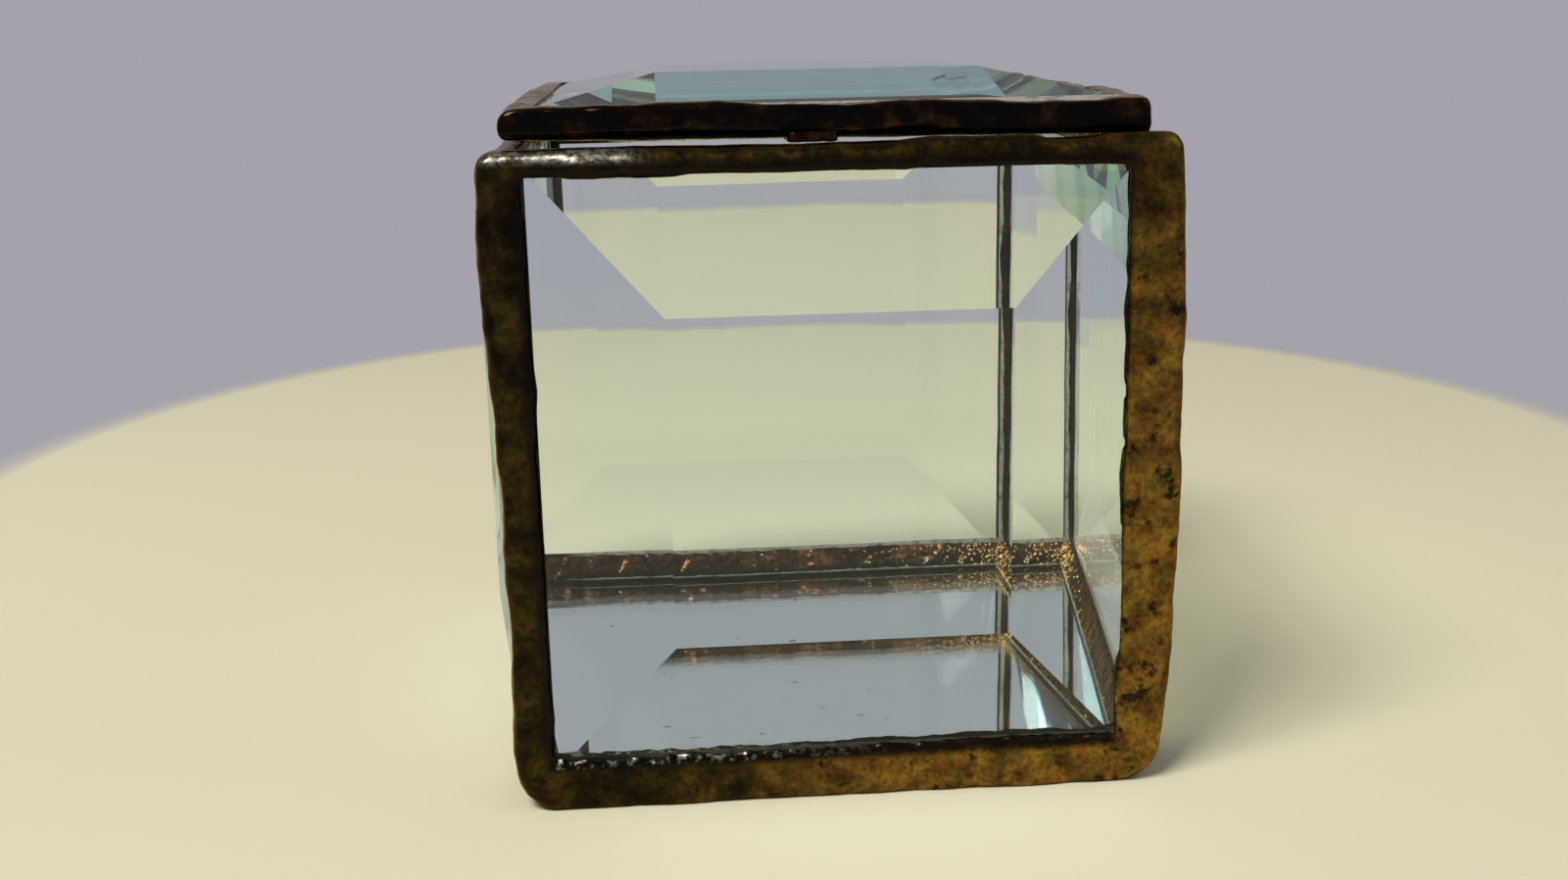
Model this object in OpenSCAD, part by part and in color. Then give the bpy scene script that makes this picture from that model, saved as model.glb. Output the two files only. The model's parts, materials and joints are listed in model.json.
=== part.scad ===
// Glass casket box: four bevelled panes on a mirrored base, and a bevelled lid on a wire hinge.
// X runs to the right, Y to the back and Z up. The origin is the middle of the base, on the table.

/* [Glass] */
// Width of the front and back panes
front_w = 57.2; // [50:0.1:70]
// Width of the two side panes, front to back
side_w = 59.8; // [50:0.1:70]
// Height of the front and side panes
pane_h = 59.4; // [50:0.1:70]
// Glass thickness at the ground edge of a bevel
edge_t = 2.0; // [1.8:0.1:2.6]
// Glass thickness at the raised middle of a pane
centre_t = 5.0; // [4:0.1:6]
// Width of the bevels on the upright edges of the walls
bevel_side = 12.7; // [8:0.1:14]
// Width of the bevels on the top and bottom edges of the walls
bevel_end = 14.0; // [8:0.1:15]
// Thickness of the mirror glass
mirror_t = 1.9; // [1.5:0.1:3]
// Thickness of the silvering and its paint
backing_t = 0.1; // [0.05:0.05:0.3]
// Gap between the edge of one pane and the inner face of the next
corner_gap = 0.25; // [0.22:0.01:0.6]

/* [Foil] */
// Thickness of the tinned copper foil
foil_t = 0.1; // [0.05:0.01:0.1]
// Width of foil on the outer face of a wall, at its upright edges
outer_lap = 0.7; // [0.5:0.05:1.8]
// Width of foil on the outer face of a wall, at its bottom edge
base_lap = 1.9; // [0.8:0.05:2.2]
// Width of foil on both faces of the front and side walls, at their top edges
rim_lap = 1.45; // [1:0.05:2]
// Width of foil on both faces of the back wall, at its top edge
back_lap = 0.8; // [0.6:0.05:1.5]
// Width of foil on the inner face of a wall, at its upright edges
inner_lap = 0.65; // [0.6:0.05:1.4]

/* [Solder] */
// How far the solder stands out from the edge faces of the glass
bead_proud = 0.9; // [0.7:0.05:1.2]
// How far the rim beads stand out inside the box
rim_inner_proud = 0.45; // [0.3:0.05:0.8]
// Radius of the rounded outer edges of the solder
bead_round = 1.6; // [1:0.1:2]
// Width of the seams up the inside corners
inner_seam = 0.45; // [0.4:0.05:0.6]
// Height of the fillets round the mirror, up the back and side walls
fillet_h = 3.0; // [1:0.1:3.5]
// Height of the fillet behind the front wall
front_fillet_h = 1.9; // [1:0.1:3.5]
// Width of the fillets round the mirror, across the mirror
fillet_w = 1.4; // [0.8:0.1:1.6]

/* [Lid] */
// How far each side of the lid stays back from the side of the box
lid_side_inset = 1.75; // [1:0.05:3]
// How far the front of the lid stays back from the front of the box
lid_front_inset = 4.0; // [1:0.1:6]
// Width of the bevels of the lid
lid_bevel = 12.7; // [8:0.1:14]
// How far the lid solder stands out from the lid glass
lid_proud = 1.4; // [1:0.05:1.8]
// Height of solder above and below the edge of the lid glass
lid_bead_over = 0.5; // [0.35:0.05:0.8]
// Width of foil on both faces of the lid glass
lid_lap = 1.4; // [1:0.05:1.8]
// Radius of the rounded edges of the lid solder
lid_round = 1.3; // [0.8:0.1:1.45]
// Slit between the lid and the rim
lid_slit = 0.5; // [0.4:0.05:0.8]
// Width of the solder lump that the lid rests on
rest_w = 4.0; // [2:0.5:8]
// Distance of the solder lump from the middle, towards the right
rest_x = -2.0; // [-10:0.5:10]
// Gap left under the solder lump
rest_gap = 0.1; // [0.05:0.05:0.2]

/* [Hinge] */
// Outer radius of the hinge tube
tube_r = 1.2; // [1.1:0.05:1.3]
// Radius of the hinge rod
rod_r = 0.79; // [0.6:0.01:0.85]
// Clearance round the rod in the tube
rod_clear = 0.05; // [0.02:0.01:0.1]
// Distance of the hinge axis behind the side panes
axis_back = 1.0; // [0.95:0.01:1.1]
// How far the back of the lid reaches past the hinge axis
lid_past_axis = 1.05; // [0.8:0.05:1.1]
// Thickness of solder between the tube and the lid
tube_solder_t = 0.1; // [0.05:0.05:0.2]
// Width of solder between the tube and the lid
tube_solder_w = 1.8; // [1.2:0.1:2]
// Gap between the tube and the back rim below it
tube_gap = 0.3; // [0.2:0.05:0.5]
// Gap between each end of the tube and the corner seams
tube_end_gap = 0.3; // [0.2:0.05:1]
// Radius of the bends of the rod, on its centre line
rod_bend = 1.3; // [1.2:0.1:1.5]
// Length of rod that is buried in a corner seam
rod_leg = 8; // [4:0.5:15]
// Distance of the buried ends of the rod from the outside of the box
rod_inset = 1.55; // [1.4:0.05:1.7]
// Height of solder over the bends of the rod, above the hinge axis
lug_over = 0.6; // [0.3:0.1:0.7]
// Gap between the ends of the lid and the solder over the bends
lug_gap = 0.3; // [0.2:0.05:0.4]

/* [Hidden] */
$fn = 64;
big = 200;
// Inside of the box, between the glass faces
inner_w = front_w + 2 * corner_gap;
inner_d = side_w + 2 * corner_gap;
// Outside of the solder
box_w = inner_w + 2 * edge_t + 2 * bead_proud;
box_d = inner_d + 2 * edge_t + 2 * bead_proud;
// Heights of the base
backing_z = bead_proud;
mirror_z = backing_z + backing_t;
mirror_top = mirror_z + mirror_t;
pane_z = mirror_top + corner_gap;
// Heights of the rim and the lid
box_h = pane_z + pane_h + bead_proud;
lid_z = box_h + lid_slit;
lid_glass_z = lid_z + lid_bead_over;
lid_bead_h = edge_t + 2 * lid_bead_over;
// Hinge axis, and the lower back rim that makes room for the tube
axis_y = side_w / 2 + axis_back;
axis_z = lid_z - tube_solder_t - tube_r;
back_rim_z = axis_z - tube_r - tube_gap;
back_pane_h = back_rim_z - bead_proud - pane_z;
tube_l = front_w - 2 * outer_lap - 2 * tube_end_gap;
rod_x = box_w / 2 - rod_inset;
// Outside of the lid
lid_full_w = box_w - 2 * lid_side_inset;
lid_front_y = lid_front_inset - box_d / 2;
lid_back_y = axis_y + lid_past_axis;
lid_full_d = lid_back_y - lid_front_y;
lid_mid_y = (lid_back_y + lid_front_y) / 2;
// Lid glass
lid_w = lid_full_w - 2 * lid_proud;
lid_d = lid_full_d - 2 * lid_proud;
// Where the corner seams end and the straight seams start
seam_x = front_w / 2 - outer_lap;
seam_y = side_w / 2 - outer_lap;
base_seam_top = pane_z + base_lap;
rim_bead_z = pane_z + pane_h - rim_lap;
back_bead_z = back_rim_z - bead_proud - back_lap;
// Faces of the foil inside the box
foil_x = inner_w / 2 - foil_t;
foil_y = inner_d / 2 - foil_t;
floor_z = mirror_top + foil_t;

glass_colour = [0.80, 0.90, 0.86, 0.35];
mirror_colour = [0.72, 0.76, 0.80];
backing_colour = [0.45, 0.47, 0.50];
foil_colour = [0.38, 0.33, 0.27];
solder_colour = [0.27, 0.20, 0.12];
inner_colour = [0.33, 0.23, 0.15];
brass_colour = [0.60, 0.45, 0.22];

// Bevelled pane lying on its flat face: w along X, d along Y, raised middle upwards.
// Grow is the thickness of a skin round it.
module bevelled_glass(w, d, bevel_x, bevel_y, grow = 0) {
    intersection() {
        rotate([90, 0, 0])
            linear_extrude(d + 2 * grow, center = true)
                bevel_profile(w, bevel_x, grow);
        rotate([90, 0, 90])
            linear_extrude(w + 2 * grow, center = true)
                bevel_profile(d, bevel_y, grow);
    }
}

// Section across a bevelled pane
module bevel_profile(w, bevel, grow) {
    slope = (centre_t - edge_t) / bevel;
    edge = w / 2 + grow;
    polygon([
        [-edge, -grow],
        [edge, -grow],
        [edge, edge_t + grow - slope * grow],
        [w / 2 - bevel, centre_t + grow],
        [-w / 2 + bevel, centre_t + grow],
        [-edge, edge_t + grow - slope * grow]]);
}

// Copper foil folded round the edge of a pane. The laps are widths on the raised face and on the flat face,
// each as [sides, low end, high end].
module foil_wrap(w, d, bevel_x, bevel_y, raised_laps, flat_laps) {
    difference() {
        bevelled_glass(w, d, bevel_x, bevel_y, foil_t);
        bevelled_glass(w, d, bevel_x, bevel_y);
        translate([0, 0, edge_t / 2])
            lap_window(w, d, raised_laps);
        translate([0, 0, edge_t / 2 - big])
            lap_window(w, d, flat_laps);
    }
}

module lap_window(w, d, laps) {
    translate([-w / 2 + laps[0], -d / 2 + laps[1], 0])
        cube([w - 2 * laps[0], d - laps[1] - laps[2], big]);
}

// Stands a pane that lies on its flat face up as the front wall, with its raised face to the front
module as_front(h = pane_h) {
    translate([0, -inner_d / 2, pane_z + h / 2])
        rotate([90, 0, 0])
            children();
}

module as_back() {
    mirror([0, 1, 0])
        as_front(back_pane_h)
            children();
}

module as_left() {
    translate([-inner_w / 2, 0, pane_z + pane_h / 2])
        rotate([90, 0, -90])
            children();
}

module as_right() {
    mirror([1, 0, 0])
        as_left()
            children();
}

module front_glass(grow = 0) {
    as_front()
        bevelled_glass(front_w, pane_h, bevel_side, bevel_end, grow);
}

module back_glass(grow = 0) {
    as_back()
        bevelled_glass(front_w, back_pane_h, bevel_side, bevel_end, grow);
}

module left_glass(grow = 0) {
    as_left()
        bevelled_glass(side_w, pane_h, bevel_side, bevel_end, grow);
}

module right_glass(grow = 0) {
    as_right()
        bevelled_glass(side_w, pane_h, bevel_side, bevel_end, grow);
}

module mirror_block(grow = 0) {
    translate([-front_w / 2 - grow, -side_w / 2 - grow, backing_z - grow])
        cube([front_w + 2 * grow, side_w + 2 * grow, backing_t + mirror_t + 2 * grow]);
}

// Block with all its edges rounded, standing on z = 0
module rounded_block(w, d, h, r) {
    intersection() {
        linear_extrude(h)
            rounded_rect(w, d, r);
        translate([0, 0, h / 2])
            rotate([90, 0, 0])
                linear_extrude(d, center = true)
                    rounded_rect(w, h, r);
        translate([0, 0, h / 2])
            rotate([90, 0, 90])
                linear_extrude(w, center = true)
                    rounded_rect(d, h, r);
    }
}

module rounded_rect(w, h, r) {
    square([w - 2 * r, h], center = true);
    square([w, h - 2 * r], center = true);
    for (x = [-1, 1], y = [-1, 1])
        translate([x * (w / 2 - r), y * (h / 2 - r)])
            circle(r);
}

// Box centred on X and Y that runs from z0 to z1
module slab(w, d, z0, z1) {
    translate([-w / 2, -d / 2, z0])
        cube([w, d, z1 - z0]);
}

// Solder skin over the whole box, with the glass and the inside cut away. Each seam is a part of it.
// Inner proud is how far the solder stands out inside.
module solder_skin(inner_proud = 0) {
    difference() {
        rounded_block(box_w, box_d, box_h, bead_round);
        front_glass(foil_t);
        back_glass(foil_t);
        left_glass(foil_t);
        right_glass(foil_t);
        mirror_block(foil_t);
        slab(2 * (foil_x - inner_proud), 2 * (foil_y - inner_proud), mirror_top, box_h + 1);
        hinge_room();
    }
}

// Room over the back rim for the tube, the rod and the back of the lid. The rim under it keeps a rounded edge.
module hinge_room() {
    lug_x = lid_full_w / 2 + lug_gap;
    behind_sides = side_w / 2 + foil_t;
    difference() {
        union() {
            translate([-foil_x, seam_y, back_rim_z - bead_round])
                cube([2 * foil_x, big, big]);
            translate([-lug_x, behind_sides, back_rim_z - bead_round])
                cube([2 * lug_x, big, big]);
        }
        translate([0, 0, back_rim_z / 2])
            rotate([90, 0, 90])
                linear_extrude(big, center = true)
                    rounded_rect(box_d, back_rim_z, bead_round);
    }
    translate([-big / 2, behind_sides, axis_z + lug_over])
        cube([big, big, big]);
}

// Seam up an outside corner, at the right (x = 1) or left (x = -1) and the back (y = 1) or front (y = -1)
module corner_seam(x, y) {
    intersection() {
        solder_skin();
        translate([x > 0 ? seam_x : -seam_x - big, y > 0 ? seam_y : -seam_y - big, -1])
            cube([big, big, big]);
    }
}

// Straight part of the solder skin at the front (y = -1) or the back (y = 1), between two heights
module seam_along_x(y, z0, z1, inner_proud = 0) {
    intersection() {
        solder_skin(inner_proud);
        translate([-seam_x, y > 0 ? seam_y : -seam_y - big, z0])
            cube([2 * seam_x, big, z1 - z0]);
    }
}

// Straight part of the solder skin at the left (x = -1) or the right (x = 1), between two heights
module seam_along_y(x, z0, z1, inner_proud = 0) {
    intersection() {
        solder_skin(inner_proud);
        translate([x > 0 ? seam_x : -seam_x - big, -seam_y, z0])
            cube([big, 2 * seam_y, z1 - z0]);
    }
}

// Dark seam up an inside corner
module inner_corner_seam(x, y, z1) {
    z0 = floor_z + (y > 0 ? fillet_h : front_fillet_h);
    translate([0, 0, z0])
        linear_extrude(z1 - z0)
            polygon([
                [x * foil_x, y * foil_y],
                [x * (foil_x - inner_seam), y * foil_y],
                [x * foil_x, y * (foil_y - inner_seam)]]);
}

// Fillet between a wall and the mirror, lying along Y on the right side of a box of half width reach
module base_fillet(reach, length, height = fillet_h) {
    rotate([90, 0, 0])
        linear_extrude(length, center = true)
            polygon([
                [reach, floor_z],
                [reach - fillet_w, floor_z],
                [reach, floor_z + height]]);
}

module front_pane() {
    color(glass_colour)
        front_glass();
}

module back_pane() {
    color(glass_colour)
        back_glass();
}

module left_pane() {
    color(glass_colour)
        left_glass();
}

module right_pane() {
    color(glass_colour)
        right_glass();
}

module mirror_glass() {
    color(mirror_colour)
        slab(front_w, side_w, mirror_z, mirror_top);
}

module mirror_backing() {
    color(backing_colour)
        slab(front_w, side_w, backing_z, mirror_z);
}

module front_foil() {
    color(foil_colour)
        as_front()
            foil_wrap(front_w, pane_h, bevel_side, bevel_end,
                [outer_lap, base_lap, rim_lap], [inner_lap, front_fillet_h, rim_lap]);
}

module back_foil() {
    color(foil_colour)
        as_back()
            foil_wrap(front_w, back_pane_h, bevel_side, bevel_end,
                [outer_lap, base_lap, back_lap], [inner_lap, fillet_h, back_lap]);
}

module side_foil() {
    foil_wrap(side_w, pane_h, bevel_side, bevel_end,
        [outer_lap, base_lap, rim_lap], [inner_lap, fillet_h, rim_lap]);
}

module left_foil() {
    color(foil_colour)
        as_left()
            side_foil();
}

module right_foil() {
    color(foil_colour)
        as_right()
            side_foil();
}

module mirror_foil() {
    color(foil_colour)
        difference() {
            mirror_block(foil_t);
            mirror_block();
            slab(2 * seam_x, 2 * seam_y, -1, mirror_z);
            slab(front_w - 2 * fillet_w, side_w - 2 * fillet_w, mirror_z, mirror_top + 1);
        }
}

module front_left_seam() {
    color(solder_colour)
        corner_seam(-1, -1);
}

module front_right_seam() {
    color(solder_colour)
        corner_seam(1, -1);
}

module back_left_seam() {
    color(solder_colour)
        difference() {
            corner_seam(-1, 1);
            rod_shape();
        }
}

module back_right_seam() {
    color(solder_colour)
        difference() {
            corner_seam(1, 1);
            rod_shape();
        }
}

module front_base_seam() {
    color(solder_colour)
        seam_along_x(-1, -1, base_seam_top);
}

module back_base_seam() {
    color(solder_colour)
        seam_along_x(1, -1, base_seam_top);
}

module left_base_seam() {
    color(solder_colour)
        seam_along_y(-1, -1, base_seam_top);
}

module right_base_seam() {
    color(solder_colour)
        seam_along_y(1, -1, base_seam_top);
}

module front_rim_bead() {
    color(solder_colour)
        seam_along_x(-1, rim_bead_z, box_h + 1, rim_inner_proud);
}

module back_rim_bead() {
    color(solder_colour)
        seam_along_x(1, back_bead_z, box_h + 1, rim_inner_proud);
}

module left_rim_bead() {
    color(solder_colour)
        seam_along_y(-1, rim_bead_z, box_h + 1, rim_inner_proud);
}

module right_rim_bead() {
    color(solder_colour)
        seam_along_y(1, rim_bead_z, box_h + 1, rim_inner_proud);
}

module inner_front_left_seam() {
    color(inner_colour)
        inner_corner_seam(-1, -1, rim_bead_z);
}

module inner_front_right_seam() {
    color(inner_colour)
        inner_corner_seam(1, -1, rim_bead_z);
}

module inner_back_left_seam() {
    color(inner_colour)
        inner_corner_seam(-1, 1, back_bead_z);
}

module inner_back_right_seam() {
    color(inner_colour)
        inner_corner_seam(1, 1, back_bead_z);
}

module inner_front_base_seam() {
    color(inner_colour)
        rotate([0, 0, -90])
            base_fillet(foil_y, 2 * foil_x, front_fillet_h);
}

module inner_back_base_seam() {
    color(inner_colour)
        rotate([0, 0, 90])
            base_fillet(foil_y, 2 * foil_x);
}

module inner_left_base_seam() {
    color(inner_colour)
        rotate([0, 0, 180])
            base_fillet(foil_x, 2 * (foil_y - fillet_w));
}

module inner_right_base_seam() {
    color(inner_colour)
        base_fillet(foil_x, 2 * (foil_y - fillet_w));
}

// Rod along the hinge axis, with a quarter bend and a leg down at each end
module rod_shape() {
    straight = 2 * (rod_x - rod_bend);
    translate([0, axis_y, axis_z]) {
        rotate([0, 90, 0])
            cylinder(h = straight, r = rod_r, center = true);
        for (side = [0, 1])
            mirror([side, 0, 0]) {
                translate([straight / 2, 0, -rod_bend])
                    rotate([90, 0, 0])
                        rotate_extrude(angle = 90)
                            translate([rod_bend, 0])
                                circle(rod_r);
                translate([rod_x, 0, -rod_bend - rod_leg])
                    cylinder(h = rod_leg, r = rod_r);
            }
    }
}

module hinge_rod() {
    color(brass_colour)
        rod_shape();
}

module lid_glass(grow = 0) {
    translate([0, lid_mid_y, lid_glass_z])
        bevelled_glass(lid_w, lid_d, lid_bevel, lid_bevel, grow);
}

// All the solder round the lid, in one piece
module lid_solder() {
    difference() {
        translate([0, lid_mid_y, lid_z])
            rounded_block(lid_full_w, lid_full_d, lid_bead_h, lid_round);
        lid_glass(foil_t);
        translate([0, lid_mid_y, 0])
            slab(lid_w - 2 * lid_lap, lid_d - 2 * lid_lap, lid_z - 1, lid_z + lid_bead_h + 1);
    }
}

// Part of the lid solder at the front (y = -1) or the back (y = 1), with its two corners
module lid_end_bead(y) {
    intersection() {
        lid_solder();
        translate([-big / 2, lid_mid_y + (y > 0 ? lid_d / 2 - lid_lap : -lid_d / 2 + lid_lap - big), 0])
            cube([big, big, big]);
    }
}

// Part of the lid solder at the left (x = -1) or the right (x = 1), between the corners
module lid_side_bead(x) {
    intersection() {
        lid_solder();
        translate([x > 0 ? 0 : -big, lid_mid_y - lid_d / 2 + lid_lap, 0])
            cube([big, lid_d - 2 * lid_lap, big]);
    }
}

module lid_pane() {
    color(glass_colour)
        lid_glass();
}

module lid_foil() {
    color(foil_colour)
        translate([0, lid_mid_y, lid_glass_z])
            foil_wrap(lid_w, lid_d, lid_bevel, lid_bevel,
                [lid_lap, lid_lap, lid_lap], [lid_lap, lid_lap, lid_lap]);
}

module lid_front_bead() {
    color(solder_colour)
        lid_end_bead(-1);
}

module lid_back_bead() {
    color(solder_colour)
        lid_end_bead(1);
}

module lid_left_bead() {
    color(solder_colour)
        lid_side_bead(-1);
}

module lid_right_bead() {
    color(solder_colour)
        lid_side_bead(1);
}

module lid_rest_bead() {
    color(solder_colour)
        translate([rest_x - rest_w / 2, lid_front_y + lid_round, box_h + rest_gap])
            cube([rest_w, lid_proud + lid_lap - lid_round, lid_slit - rest_gap]);
}

module hinge_tube() {
    color(brass_colour)
        translate([0, axis_y, axis_z])
            rotate([0, 90, 0])
                difference() {
                    cylinder(h = tube_l, r = tube_r, center = true);
                    cylinder(h = tube_l + 1, r = rod_r + rod_clear, center = true);
                }
}

module hinge_tube_solder() {
    color(solder_colour)
        translate([0, axis_y, axis_z])
            difference() {
                slab(tube_l, tube_solder_w, tube_r / 2, tube_r + tube_solder_t);
                rotate([0, 90, 0])
                    cylinder(h = tube_l + 1, r = tube_r, center = true);
            }
}

front_pane();
back_pane();
left_pane();
right_pane();
mirror_glass();
mirror_backing();
front_foil();
back_foil();
left_foil();
right_foil();
mirror_foil();
front_left_seam();
front_right_seam();
back_left_seam();
back_right_seam();
front_base_seam();
back_base_seam();
left_base_seam();
right_base_seam();
front_rim_bead();
back_rim_bead();
left_rim_bead();
right_rim_bead();
inner_front_left_seam();
inner_front_right_seam();
inner_back_left_seam();
inner_back_right_seam();
inner_front_base_seam();
inner_back_base_seam();
inner_left_base_seam();
inner_right_base_seam();
hinge_rod();
lid_pane();
lid_foil();
lid_front_bead();
lid_back_bead();
lid_left_bead();
lid_right_bead();
lid_rest_bead();
hinge_tube();
hinge_tube_solder();
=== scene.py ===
"""Glass casket box: bevelled panes, hand-soldered seams with an antique patina, and a hinged lid."""

import json
import math
import random

import bpy
from mathutils import Matrix, Vector


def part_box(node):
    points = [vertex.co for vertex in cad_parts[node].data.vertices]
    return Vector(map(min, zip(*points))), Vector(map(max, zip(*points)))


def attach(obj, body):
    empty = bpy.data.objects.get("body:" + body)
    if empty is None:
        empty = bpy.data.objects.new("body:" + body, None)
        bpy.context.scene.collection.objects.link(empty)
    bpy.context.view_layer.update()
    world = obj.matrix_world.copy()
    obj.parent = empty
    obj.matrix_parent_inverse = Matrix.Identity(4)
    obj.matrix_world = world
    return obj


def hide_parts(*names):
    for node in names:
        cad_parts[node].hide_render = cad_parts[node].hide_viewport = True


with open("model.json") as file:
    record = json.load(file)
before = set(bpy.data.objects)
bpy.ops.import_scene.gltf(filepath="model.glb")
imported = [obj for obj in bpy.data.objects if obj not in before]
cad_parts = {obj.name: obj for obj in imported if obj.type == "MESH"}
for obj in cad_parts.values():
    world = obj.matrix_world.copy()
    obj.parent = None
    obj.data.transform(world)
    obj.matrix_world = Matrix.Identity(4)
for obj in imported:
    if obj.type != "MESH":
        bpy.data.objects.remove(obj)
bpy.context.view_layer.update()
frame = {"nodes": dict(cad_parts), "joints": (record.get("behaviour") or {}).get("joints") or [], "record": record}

MM = 0.001

# Photograph's viewpoint
CAMERA_PLACE_MM = (-16.6, -183.3, 75.0)
CAMERA_YAW = math.radians(4.32)
CAMERA_PITCH = math.radians(14.35)
CAMERA_ROLL = math.radians(1.10)
FOCAL_PX = 1710.0
PHOTO_WIDTH_PX = 1600
SENSOR_MM = 36.0

# Colours, linear
CREAM = (0.68, 0.64, 0.45, 1)
LAVENDER = (0.375, 0.362, 0.408, 1)
BLACK_FOIL = (0.011, 0.011, 0.007, 1)
# Black of the patina, also used as the painted shade beside the glass
BLACK_PATINA_AND_SHADE = (0.008, 0.005, 0.003, 1)
BLACK_FOOT = (0.012, 0.013, 0.007, 1)
GOLD_PATINA = (0.34, 0.20, 0.030, 1)
# Bare solder: worn patina, and also a painted highlight on the rim's left end and on the sill
BARE_SOLDER_HIGHLIGHT = (0.26, 0.255, 0.20, 1)

# Light that each glass face lets through to what it shades
GLASS_SHADOW = (0.65, 0.63, 0.57, 1)

# Share of the warm tones in the patina: at the middle of the base, per millimetre to the right and up, and
# how much it varies
WARM_AT_MIDDLE = 0.42
WARM_PER_MM_RIGHT = 0.017
WARM_PER_MM_UP = -0.0095
WARM_VARIES = 0.8

# Where the patina is worn off and bare solder paints a highlight, from none to all of it
WORN_HIGHLIGHT_RIM_X_MM = (-16.5, -21.5)
WORN_HIGHLIGHT_RIM_Z_MM = (62.0, 62.8333)
WORN_HIGHLIGHT_SILL_X_MM = (5.0, -11.6667)
WORN_HIGHLIGHT_SILL_LEVEL_MM = 4.9

# How far to the left the middle between the windows' dark edges lies, where shade is painted beside the glass
DARK_EDGE_SHIFT_MM = 0.9

# Where the foil turns black at the left, and how fast
BLACK_FOIL_X_MM = -20.0
BLACK_FOIL_PER_MM = 0.1

# Cream part of the floor: a straight strip with two round ends, then the plain backdrop
CREAM_MIDDLE_MM = (8, -60)
CREAM_STRAIGHT_MM = 145
CREAM_EDGE_MM = (138, 148)

# Solder modelling
VOXEL_MM = 0.3
INNER_VOXEL_MM = 0.18
REST_VOXEL_MM = 0.1
GLASS_CLEARANCE_MM = 0.05
FAR_MM = 90
SAME_PLACE_MM = 0.01

# Size and height of the lumps in the solder
BEAD_LUMPS_MM = ((11, 0.8), (4, 0.35), (1.5, 0.12))
SILL_LUMPS_MM = (1.2, 0.5)
INNER_LUMPS_MM = (1.6, 0.6)
INNER_FINE_LUMPS_MM = (0.6, 0.08)
REST_LUMPS_MM = (0.8, 0.2)

# How far the upright seams reach past the window's edge, where the skin is cut into pieces
PIECE_REACH_MM = 0.7
MIDDLE_HEIGHT_MM = 30

# Hand-soldered differences from the even seams of the CAD
RIGHT_CAME_EXTRA_MM = 1.0
BACK_CAME_LESS_MM = 0.3
SILL_EXTRA_MM = 0.45
BASE_CUT_MM = 0.5
OUTER_ROUND_MM = 1.4
WINDOW_ROUND_MM = 1.2
RIM_ROUND_MM = 0.7
CORNER_ROUND_MM = {(-1, 0): 4.3, (1, 0): 4.4, (-1, 1): 1.9, (1, 1): 1.5}
LID_TOP_LEAN_MM = 0.2
LID_UNDER_LEAN_MM = 0.4
LID_SAG_MM = 0.3
LID_LEFT_EXTRA_MM = 0.5
RIGHT_SWELL_MM = 1.2
LEFT_SWELL_MM = 0.7
RIM_SWELL_MM = 0.4
INNER_SWELL_MM = 0.1
LID_EDGE_ROUND_MM = 0.8
LID_ROUND_MM = {(-1, 0): 1.0, (-1, 1): 1.7, (1, 0): 0.9, (1, 1): 0.9}
CASKET_TOP_MARGIN_MM = 0.03
LID_UNDER_MARGIN_MM = 0.09
OPEN_LID_MARGIN_MM = 0.35
LID_ROOM_FRONT_MM = 1.6
LID_NOTCH_SIDE_MM = 1.6
LUG_ABOVE_AXIS_MM = 0.6
REST_WIDER_MM = 0.3
REST_FORWARD_MM = 3.6
REST_HIGHER_MM = 0.5

# Silvering of the mirror: in from the backing's edges, and up into the glass
SILVER_INSET_MM = 0.05
SILVER_IN_GLASS_MM = 0.02

# Bright grains on the fillets
GRAIN_SEED = 11
GRAIN_COUNT = 220
GRAIN_MM = (0.08, 0.23)
GRAIN_SPREAD_MM = 7
GRAIN_ELSEWHERE = 0.012


def deselect_all():
    for thing in bpy.context.selected_objects:
        thing.select_set(False)


def new_material(name):
    made = bpy.data.materials.new(name)
    made.use_nodes = True
    made.node_tree.nodes.clear()
    return made, made.node_tree.nodes, made.node_tree.links


def object_coordinates(nodes, links):
    """Object coordinates in millimetres."""
    place = nodes.new("ShaderNodeTexCoord")
    mapping = nodes.new("ShaderNodeMapping")
    mapping.inputs["Scale"].default_value = (1 / MM,) * 3
    links.new(place.outputs["Object"], mapping.inputs["Vector"])
    return mapping.outputs["Vector"]


def noise(nodes, links, vector, scale, detail=4.0, roughness=0.55, distortion=0.0):
    made = nodes.new("ShaderNodeTexNoise")
    made.inputs["Scale"].default_value = scale
    made.inputs["Detail"].default_value = detail
    made.inputs["Roughness"].default_value = roughness
    made.inputs["Distortion"].default_value = distortion
    links.new(vector, made.inputs["Vector"])
    return made.outputs["Fac"]


def ramp(nodes, links, factor, stops):
    made = nodes.new("ShaderNodeValToRGB")
    elements = made.color_ramp.elements
    while len(elements) < len(stops):
        elements.new(0.5)
    for element, (place, colour) in zip(elements, stops):
        element.position = place
        element.color = colour if len(colour) == 4 else (*colour, 1)
    links.new(factor, made.inputs["Fac"])
    return made.outputs["Color"]


def grey(value):
    return (value, value, value, 1)


def mix_colours(nodes, links, factor, first, second, blend="MIX"):
    made = nodes.new("ShaderNodeMix")
    made.data_type = "RGBA"
    made.blend_type = blend
    for socket, value in (("Factor", factor), ("A", first), ("B", second)):
        target = [i for i in made.inputs if i.name == socket and i.enabled][0]
        if hasattr(value, "is_output"):
            links.new(value, target)
        else:
            target.default_value = value
    return [o for o in made.outputs if o.enabled][0]


def bump(nodes, links, height, distance_mm, strength=1.0, normal=None):
    made = nodes.new("ShaderNodeBump")
    made.inputs["Strength"].default_value = strength
    made.inputs["Distance"].default_value = distance_mm * MM
    links.new(height, made.inputs["Height"])
    if normal is not None:
        links.new(normal, made.inputs["Normal"])
    return made.outputs["Normal"]


def math_node(nodes, links, operation, *values):
    made = nodes.new("ShaderNodeMath")
    made.operation = operation
    for socket, value in zip(made.inputs, values):
        if hasattr(value, "is_output"):
            links.new(value, socket)
        else:
            socket.default_value = value
    return made.outputs["Value"]


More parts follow.
